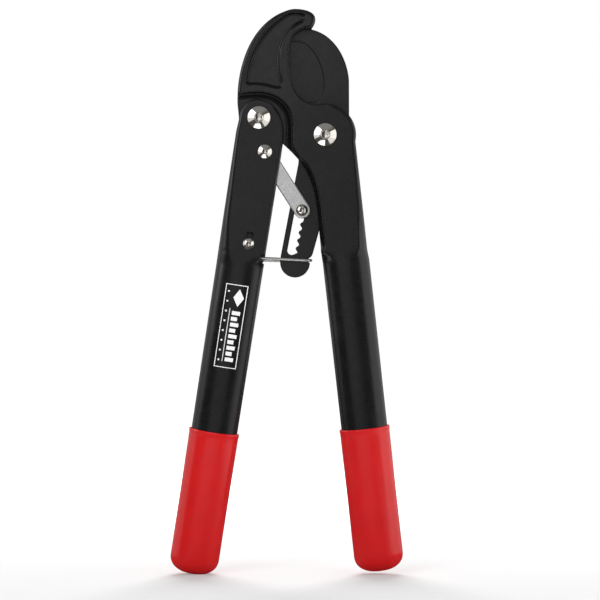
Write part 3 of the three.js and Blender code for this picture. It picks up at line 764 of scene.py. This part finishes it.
def bail_half(side):
    """Half of the wire: a tail, a turn round the screw, a leg to the tang's neck, and its bend."""
    (x, z), (neck_x, neck_z) = SPRING_SCREW, NECK
    coil, pitch, elbow, depth = 4.2, 2.3, 2.6, LINK_INNER + 1.1
    leg_x, leg_z = x + coil, neck_z + 1.7
    points = [(leg_x, depth - pitch, z + 7), (leg_x, depth - pitch, z + 3.5)]
    for i in range(41):
        part, angle = i / 40, -i / 40 * 2 * math.pi
        points.append((x + coil * math.cos(angle), depth - pitch * (1 - part), z + coil * math.sin(angle)))
    points.append((leg_x, depth, (z + leg_z + elbow) / 2))
    for angle in np.radians([0, 30, 60, 90]):
        points.append((leg_x + elbow * (1 - math.cos(angle)), depth, leg_z + elbow * (1 - math.sin(angle))))
    bend_x = neck_x - depth
    leg = bend_x - (leg_x + elbow)
    for part in (0.25, 0.5, 0.75, 0.93):
        points.append((leg_x + elbow + leg * part, depth, leg_z + (neck_z - leg_z) * part))
    for angle in np.radians([0, 22.5, 45, 67.5]):
        points.append((bend_x + depth * math.sin(angle), depth * math.cos(angle), neck_z))
    sag = 1.3 if side > 0 else 0.0
    sagged = []
    for px, py, pz in points:
        low, left = float(ease(-pz, -leg_z - 9, -leg_z)), 1 - float(ease(px, leg_x + 12, neck_x))
        sagged.append((px, side * py, pz - sag * low * left))
    return sagged


def smooth_line(points, per_step):
    """Catmull-Rom points through a route."""
    p = np.array(points, float)
    p = np.concatenate([[2 * p[0] - p[1]], p, [2 * p[-1] - p[-2]]])
    out = []
    for i in range(1, len(p) - 2):
        a, b, c, d = p[i - 1 : i + 3]
        for t in np.arange(per_step) / per_step:
            out.append(0.5 * (2 * b + (c - a) * t + (2 * a - 5 * b + 4 * c - d) * t**2
                              + (3 * b - a - 3 * c + d) * t**3))
    return np.array([*out, p[-2]])


def make_wire(name, route, radius, sides=16):
    line = smooth_line(route, 4)
    tangent = np.gradient(line, axis=0)
    tangent /= np.linalg.norm(tangent, axis=1)[:, None]
    side = np.cross(tangent[0], (0.3, 0.8, 0.5))
    rings = []
    angles = np.linspace(0, 2 * math.pi, sides, endpoint=False)[:, None]
    for at, (point, along) in enumerate(zip(line, tangent)):
        side = side - along * (side @ along)
        side /= np.linalg.norm(side)
        up = np.cross(along, side)
        ends = min(at, len(line) - 1 - at)
        r = radius * (0.7 if ends == 0 else 1.0)
        rings.append(point + r * (np.cos(angles) * side + np.sin(angles) * up))
    return rings_mesh(name, rings)


# ---- Print on the left handle -------------------------------------------------------------------


PRINT_MIDDLE = 3.1


def make_print():
    """A plain frame with a line, dots, a diamond and bars: a generic pattern with no lettering."""
    points, quads = [], []

    def skin(across, down):
        a, b = tapered(LEVER, LEVER_OUTER, down), tapered(LEVER, LEVER_INNER, down)
        u = abs(across - (a + b) / 2) / (abs(b - a) / 2)
        return TUBE_MIDDLE - TUBE_HALF * (1 - u**OVAL) ** (1 / OVAL)

    def patch(columns):
        """Ink over columns of (across, top, low), following the tube's round face."""
        base = len(points)
        for across, top, low in columns:
            a = across + PRINT_MIDDLE
            for down, lift in ((top, -0.07), (low, -0.07), (low, 0.35), (top, 0.35)):
                x, z = LEVER.world(a, down)
                points.append((x, skin(a, down) + lift, z))
        for i in range(len(columns) - 1):
            here = base + 4 * i
            for k in range(4):
                after = (k + 1) % 4
                quads.append([here + k, here + after, here + 4 + after, here + 4 + k])
        last = base + 4 * (len(columns) - 1)
        quads.append([base + 3, base + 2, base + 1, base])
        quads.append([last, last + 1, last + 2, last + 3])

    def bar(left, right, top, low):
        patch([(a, top, low) for a in np.linspace(left, right, max(2, int((right - left) / 0.7) + 2))])

    # The frame, and a line down its left part.
    half, top, low, line = 7.9, 119.3, 178.8, 0.55
    bar(-half, half, top, top + line)
    bar(-half, half, low - line, low)
    bar(-half, line - half, top + line, low - line)
    bar(half - line, half, top + line, low - line)
    bar(-2.9, -2.45, 136.5, 174.5)
    dots, dot_step = 8, 7.0
    for i in range(dots):
        bar(-5.9, -4.7, 124.0 + dot_step * i, 125.2 + dot_step * i)
    centre, middle, half_width, half_height = 2.3, 128.6, 3.7, 6.2
    diamond = []
    for t in np.linspace(-1, 1, 13):
        reach = half_height * (1 - abs(t))
        diamond.append((centre + half_width * t, middle - 0.1 - reach, middle + 0.1 + reach))
    patch(diamond)
    bars, bar_step, long, short = 9, 4.15, 5.0, 3.4
    for i in range(bars):
        bar(-0.9, long if i % 2 == 0 else short, 138.2 + bar_step * i, 140.9 + bar_step * i)
    made = mesh_from("handle_print", points, quads)
    sharpen(made, 20)
    made.data.materials.append(print_white())
    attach(made, "lever_handle")


# ---- Assembly -----------------------------------------------------------------------------------

stand_for(make_casting(), "hook_handle")
stand_for(make_lever(), "lever_handle")
stand_for(make_blade(), "blade")
stand_for(make_link("link_front_plate", -LINK_OUTER, -LINK_INNER), "link_front")
stand_for(make_link("link_rear_plate", LINK_INNER, LINK_OUTER), "link_rear")
stand_for(make_grip("right_grip_vinyl", RIGHT, RIGHT_OUTER, RIGHT_INNER, RIGHT_LENGTH), "right_grip")
stand_for(make_grip("left_grip_vinyl", LEVER, LEVER_OUTER, LEVER_INNER, LEVER_LENGTH), "left_grip")

# Each head is its radius, its height, the shank's radius and the socket's.
PIVOT_HEAD = (8.3, 4.4, 4, 2.5)
LINK_HEAD = (5.2, 3, 2.5, 1.5)
PIN_HEAD = (4.25, 2.6, 2, 1.3)
SPRING_HEAD = (4.1, 2.6, 2, 1.3)
WASHER = 1.3
UNDER_HEAD, ON_BACK = FRONT - GAP, BACK + GAP
NUT_FRONT = BACK + GAP + WASHER + GAP
for side, centre in (("main_pivot", BLADE_PIVOT), ("lever_pivot", LEVER_PIVOT)):
    button = make_bolt(side + "_button", centre, *PIVOT_HEAD, UNDER_HEAD, NUT_FRONT + 5.0)
    disc = make_ring(side + "_disc", centre, 8, PIVOT_BORE, ON_BACK, ON_BACK + WASHER)
    hexagon = make_nut(side + "_hexagon", centre, 6.5, PIVOT_BORE, NUT_FRONT, NUT_FRONT + 4.6)
    stand_for(button, side + "_bolt")
    stand_for(disc, side + "_washer")
    stand_for(hexagon, side + "_nut")

stand_for(make_ring("blade_bush_ring", BLADE_PIVOT, 6, PIVOT_BORE, -2.1, 2.1), "blade_bush")
spacer = make_ring("blade_spacer_ring", BLADE_PIVOT, 9, PIVOT_BORE, 2.4, CHANNEL_BACK - GAP)
stand_for(spacer, "blade_spacer")
bush = make_ring("lever_bush_ring", LEVER_PIVOT, 5.7, PIVOT_BORE, LUG_FRONT, LUG_BACK)
stand_for(bush, "lever_pivot_bush")

button = make_bolt("link_screw_button", LINK_PIVOT, *LINK_HEAD, UNDER_HEAD, BACK + 4.6)
stand_for(button, "link_screw")
stand_for(make_nut("link_screw_hexagon", LINK_PIVOT, 4, LINK_BORE, ON_BACK, BACK + 4.3), "link_screw_nut")
for part, front, back in (
    ("front", CHANNEL_FRONT + GAP, -LINK_OUTER - GAP), ("middle", -LINK_INNER + GAP, LINK_INNER - GAP),
):
    spacer = make_ring("link_spacer_" + part + "_ring", LINK_PIVOT, 4.6, LINK_BORE, front, back)
    stand_for(spacer, "link_spacer_" + part)

button = make_bolt("ratchet_pin_button", RATCHET_PIN, *PIN_HEAD, -LINK_OUTER - GAP, LINK_OUTER + 3.6)
stand_for(button, "ratchet_pin")
hexagon = make_nut("ratchet_pin_hexagon", RATCHET_PIN, 3.5, PIN_BORE, LINK_OUTER + GAP, LINK_OUTER + 3.3)
stand_for(hexagon, "ratchet_pin_nut")

button = make_bolt("spring_screw_button", SPRING_SCREW, *SPRING_HEAD, UNDER_HEAD, BACK + 3.6)
stand_for(button, "spring_screw")
hexagon = make_nut("spring_screw_hexagon", SPRING_SCREW, 3.5, PIN_BORE, ON_BACK, BACK + 3.3)
stand_for(hexagon, "spring_screw_nut")
bush = make_ring("spring_bush_ring", SPRING_SCREW, 2.9, PIN_BORE, CHANNEL_FRONT + GAP, CHANNEL_BACK - GAP)
stand_for(bush, "spring_bush")
route = [*bail_half(-1), (NECK[0], 0, NECK[1]), *reversed(bail_half(1))]
stand_for(make_wire("spring_bail_wire", route, WIRE_RADIUS), "spring_bail")
make_print()

# ---- Studio -------------------------------------------------------------------------------------


def plain_floor():
    """A pale floor that glows up to white with distance, and is dark only where the tool reflects it."""
    mesh = bpy.data.meshes.new("floor")
    side = 6.0
    mesh.from_pydata([(-side, -side, 0), (side, -side, 0), (side, side, 0), (-side, side, 0)], [],
                     [(0, 1, 2, 3)])
    floor = bpy.data.objects.new("floor", mesh)
    bpy.context.scene.collection.objects.link(floor)
    m = Nodes("pale_floor")
    away = m.tree.nodes.new("ShaderNodeVectorMath")
    away.operation = "LENGTH"
    m.link(m.place, away.inputs[0])
    m.set(Base_Color=(0.6, 0.6, 0.6, 1), Roughness=0.8, Emission_Color=(1, 1, 1, 1))
    m.shader.inputs["Specular IOR Level"].default_value = 0.0
    near, far, glow_near, glow_far = 0.25, 0.9, 0.14, 1.0
    glow = m.ramp(away.outputs["Value"], near, far, glow_near, glow_far)
    m.link(glow, m.shader.inputs["Emission Strength"])
    plain = m.tree.nodes.new("ShaderNodeBsdfDiffuse")
    plain.inputs["Color"].default_value = (0.06, 0.06, 0.06, 1)
    path, mixed = m.tree.nodes.new("ShaderNodeLightPath"), m.tree.nodes.new("ShaderNodeMixShader")
    m.link(path.outputs["Is Glossy Ray"], mixed.inputs["Fac"])
    m.link(m.shader.outputs["BSDF"], mixed.inputs[1])
    m.link(plain.outputs["BSDF"], mixed.inputs[2])
    m.link(mixed.outputs["Shader"], m.tree.nodes["Material Output"].inputs["Surface"])
    floor.data.materials.append(m.material)


def soft_light(name, place, aim, size, power, gloss=True, body=True):
    """A soft panel. Without gloss it casts light and shadow only, and without body it is only reflected."""
    data = bpy.data.lights.new(name, "AREA")
    data.shape = "RECTANGLE"
    data.size, data.size_y = size
    data.energy = power
    lamp = bpy.data.objects.new(name, data)
    bpy.context.scene.collection.objects.link(lamp)
    lamp.location = place
    lamp.rotation_mode = "QUATERNION"
    lamp.rotation_quaternion = (Vector(place) - Vector(aim)).to_track_quat("Z", "Y")
    lamp.visible_camera = False
    lamp.visible_glossy = gloss
    lamp.visible_diffuse = body


def surroundings():
    """A dim room, lighter overhead and darker behind, before a white backdrop."""
    world = bpy.data.worlds.new("studio")
    bpy.context.scene.world = world
    world.use_nodes = True
    tree = world.node_tree
    tree.nodes.clear()
    out = tree.nodes.new("ShaderNodeOutputWorld")
    path = tree.nodes.new("ShaderNodeLightPath")
    mixed = tree.nodes.new("ShaderNodeMixShader")
    dim, white = tree.nodes.new("ShaderNodeBackground"), tree.nodes.new("ShaderNodeBackground")
    way = tree.nodes.new("ShaderNodeSeparateXYZ")
    tree.links.new(tree.nodes.new("ShaderNodeTexCoord").outputs["Generated"], way.inputs["Vector"])
    parts = []
    for axis, low, high, to_low, to_high in (("Y", -0.4, 0.3, 0.06, 0.03), ("Z", 0.45, 0.9, 0.0, 0.2)):
        part = tree.nodes.new("ShaderNodeMapRange")
        part.interpolation_type = "SMOOTHSTEP"
        for key, number in (("From Min", low), ("From Max", high), ("To Min", to_low), ("To Max", to_high)):
            part.inputs[key].default_value = number
        tree.links.new(way.outputs[axis], part.inputs["Value"])
        parts.append(part.outputs["Result"])
    total = tree.nodes.new("ShaderNodeMath")
    tree.links.new(parts[0], total.inputs[0])
    tree.links.new(parts[1], total.inputs[1])
    tree.links.new(total.outputs["Value"], dim.inputs["Strength"])
    dim.inputs["Color"].default_value = (1, 1, 1, 1)
    white.inputs["Color"].default_value = (1, 1, 1, 1)
    tree.links.new(path.outputs["Is Camera Ray"], mixed.inputs["Fac"])
    tree.links.new(dim.outputs[0], mixed.inputs[1])
    tree.links.new(white.outputs[0], mixed.inputs[2])
    tree.links.new(mixed.outputs[0], out.inputs["Surface"])


def camera():
    data = bpy.data.cameras.new("camera")
    made = bpy.data.objects.new("camera", data)
    bpy.context.scene.collection.objects.link(made)
    reach, seen, sensor = 2.0, 0.426, 36
    made.location = (0.0099, -0.006 - reach, 0.1949)
    made.rotation_euler = (math.radians(90), 0, 0)
    data.sensor_width = sensor
    data.lens = sensor * reach / seen
    data.clip_start, data.clip_end = 0.01, 50
    bpy.context.scene.camera = made


plain_floor()
surroundings()
camera()
MIDDLE = (0, 0, 0.22)
soft_light("key", (-0.50, -0.95, 0.95), MIDDLE, (0.7, 0.7), 7, gloss=False)
soft_light("fill", (0.70, -0.90, 0.60), MIDDLE, (1.0, 1.0), 3.6, gloss=False)
soft_light("front", (-0.10, -0.95, 0.24), (-0.10, 0, 0.24), (0.42, 0.9), 0.67)
soft_light("front_high", (-0.12, -0.94, 0.58), (-0.12, 0, 0.58), (0.46, 0.24), 0.17)
soft_light("left_panel", (-0.85, 0.00, 0.30), (0, 0.0, 0.3), (1.10, 1.0), 2.8)
soft_light("right_panel", (0.85, -0.23, 0.30), (0, -0.23, 0.3), (1.56, 1.0), 6.2)
soft_light("left_rim", (-0.85, 1.05, 0.30), (0, 1.05, 0.3), (1.0, 1.0), 2.0, body=False)
soft_light("right_rim", (0.85, 1.05, 0.30), (0, 1.05, 0.3), (1.0, 1.0), 2.4, body=False)
soft_light("upper_left", (-0.78, -0.37, 0.725), (0, 0, 0.31), (0.45, 0.85), 3.0, body=False)
soft_light("right_low", (0.53, -0.23, 0.01), (0.53, -0.18, 0.6), (0.65, 0.66), 1.2, body=False)
soft_light("low_card", (-0.055, -0.09, 0.135), (-0.055, -0.26, 0.6), (0.15, 0.09), 0.095, body=False)
soft_light("behind", (0.0, 0.9, 0.9), MIDDLE, (0.8, 0.8), 20, gloss=False)
soft_light("back", (0.10, 0.95, 0.24), (0.10, 0, 0.24), (0.40, 0.9), 0.7)
bpy.context.scene.view_settings.view_transform = "Standard"

bpy.context.view_layer.update()
